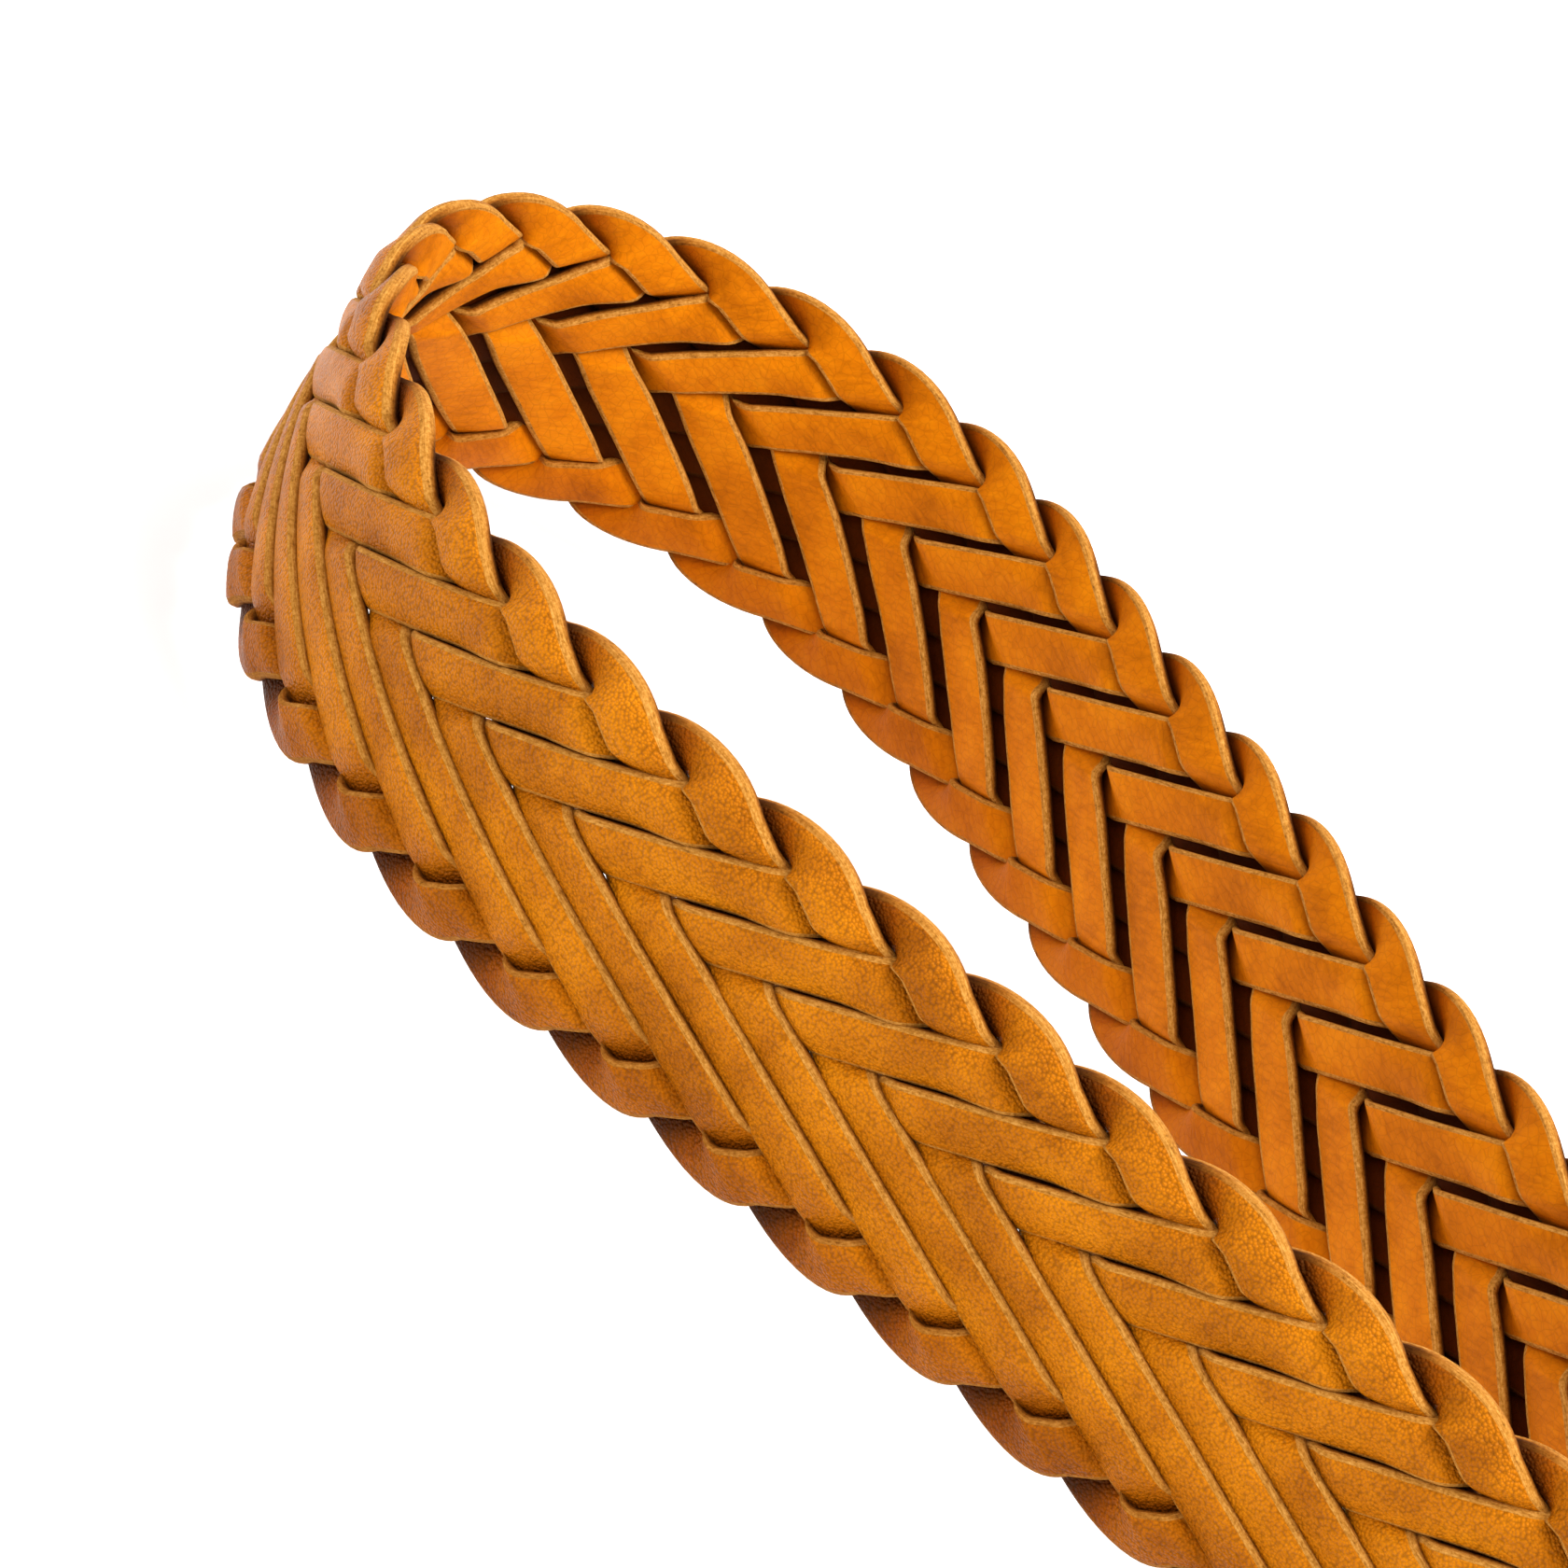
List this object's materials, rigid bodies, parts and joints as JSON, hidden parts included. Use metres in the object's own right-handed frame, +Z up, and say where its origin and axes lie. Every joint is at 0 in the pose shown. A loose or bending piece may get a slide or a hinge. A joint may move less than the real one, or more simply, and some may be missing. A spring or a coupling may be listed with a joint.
{
  "type": "braided leather belt",
  "caption": "Flat braided leather belt standing on its edge in an open loop, with a folded buckle tab, a round-rail prong buckle, a loose keeper and a pointed tab.",
  "frame": {"origin": "on the surface the belt stands on, under the middle of its bounding box", "axes": "+Z up across the strap's width, +X from the loop towards both free ends, +Y from the buckle arm to the pointed arm"},
  "size_m": [0.4928, 0.095, 0.0462],
  "materials": {
    "strand_leather": "satin",
    "tab_leather": "satin",
    "thread": "matte",
    "buckle_metal": "polished"
  },
  "bodies": {
    "strap": {"strand_01": "strand_leather", "strand_02": "strand_leather", "strand_03": "strand_leather", "strand_04": "strand_leather", "strand_05": "strand_leather", "strand_06": "strand_leather", "strand_07": "strand_leather", "strand_08": "strand_leather", "strand_09": "strand_leather", "strand_10": "strand_leather", "buckle_tab": "tab_leather", "buckle_tab_stitching": "thread", "point_tab_front": "tab_leather", "point_tab_back": "tab_leather", "point_tab_stitching": "thread"},
    "frame": {"buckle_frame": "buckle_metal", "buckle_bar": "buckle_metal"},
    "prong": {"prong": "buckle_metal"},
    "keeper": {"keeper": "tab_leather"}
  },
  "joints": [
    {"name": "buckle_swing", "type": "hinge", "parent": "strap", "child": "frame", "pos_m": [0.15633, -0.00638, 0.0231], "axis": [0, 0, 1], "range_deg": [-45, 25]},
    {"name": "prong_swing", "type": "hinge", "parent": "frame", "child": "prong", "pos_m": [0.15633, -0.00638, 0.0231], "axis": [0, 0, -1], "range_deg": [0, 80]},
    {"name": "keeper_slide", "type": "slide", "parent": "strap", "child": "keeper", "axis": [1, 0, 0], "range_m": [-0.06, 0]}
  ]
}
